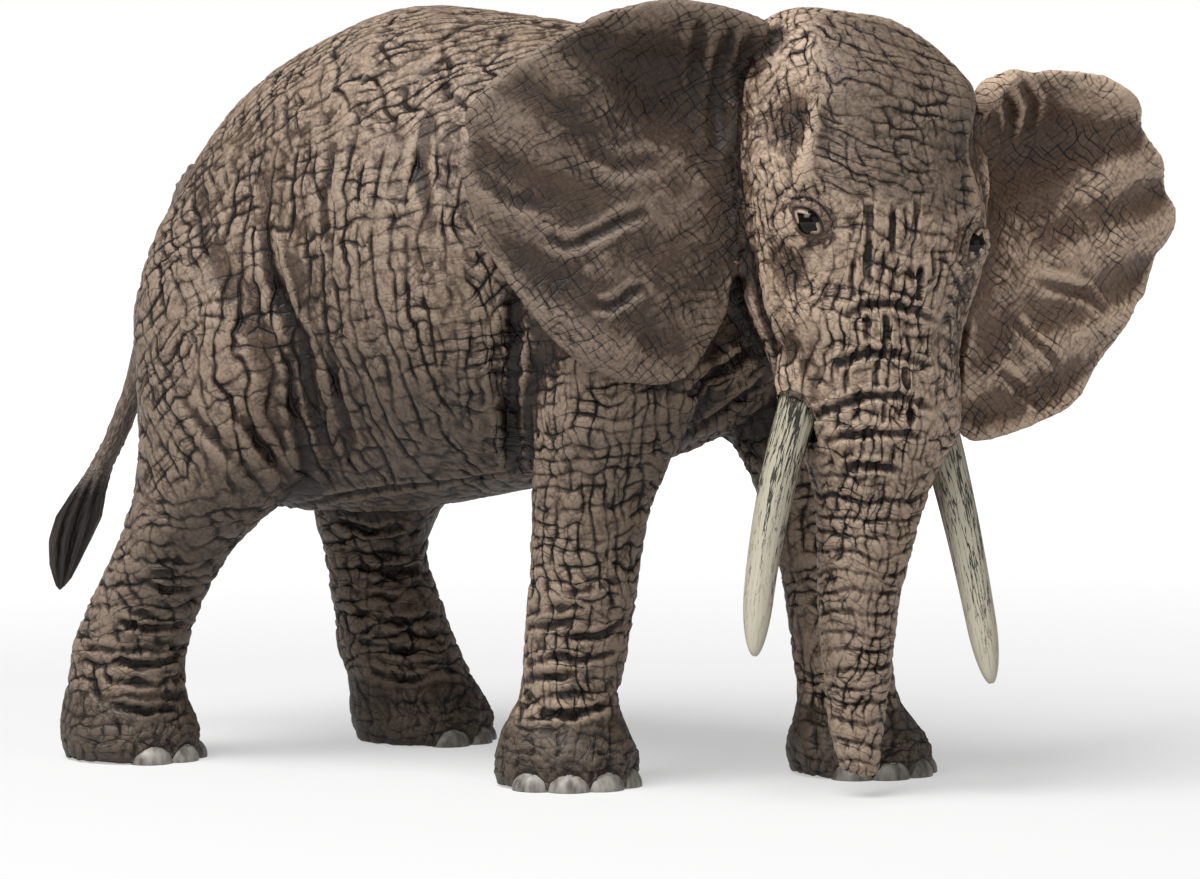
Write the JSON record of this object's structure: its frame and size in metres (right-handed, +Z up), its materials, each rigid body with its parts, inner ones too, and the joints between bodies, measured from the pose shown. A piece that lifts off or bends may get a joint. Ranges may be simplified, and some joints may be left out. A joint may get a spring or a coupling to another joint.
{
  "type": "toy wild animal figure",
  "caption": "Walking African elephant cow figure with head turned to its right, spread ears, hanging trunk, tusks and flat soles",
  "frame": {"origin": "on the ground, in the middle of the box round the whole figure", "axes": "the elephant faces -Y, its left flank is +X, +Z is up"},
  "size_m": [0.0721, 0.1393, 0.0919],
  "materials": {
    "torso_paint": "taupe paint, dark wash in the wrinkles and pale dry-brushed ridges, satin",
    "head_paint": "taupe paint, dark wash in the wrinkles and pale dry-brushed ridges, satin",
    "ear_right_paint": "taupe paint, dark wash in the wrinkles and pale dry-brushed ridges, satin",
    "ear_left_paint": "taupe paint, dark wash in the wrinkles and pale dry-brushed ridges, satin",
    "tusk_right_paint": "cream paint with dark wash in the grooves, semi-gloss",
    "tusk_left_paint": "cream paint with dark wash in the grooves, semi-gloss",
    "tail_paint": "taupe paint, near-black tuft, satin",
    "leg_front_right_paint": "taupe paint, dark wash in the wrinkles and pale dry-brushed ridges, satin",
    "leg_front_left_paint": "taupe paint, dark wash in the wrinkles and pale dry-brushed ridges, satin",
    "leg_rear_right_paint": "taupe paint, dark wash in the wrinkles and pale dry-brushed ridges, satin",
    "leg_rear_left_paint": "taupe paint, dark wash in the wrinkles and pale dry-brushed ridges, satin"
  },
  "bodies": {
    "root": {"torso": "torso_paint", "head": "head_paint", "ear_right": "ear_right_paint", "ear_left": "ear_left_paint", "tusk_right": "tusk_right_paint", "tusk_left": "tusk_left_paint", "tail": "tail_paint", "leg_front_right": "leg_front_right_paint", "leg_front_left": "leg_front_left_paint", "leg_rear_right": "leg_rear_right_paint", "leg_rear_left": "leg_rear_left_paint"}
  },
  "joints": []
}
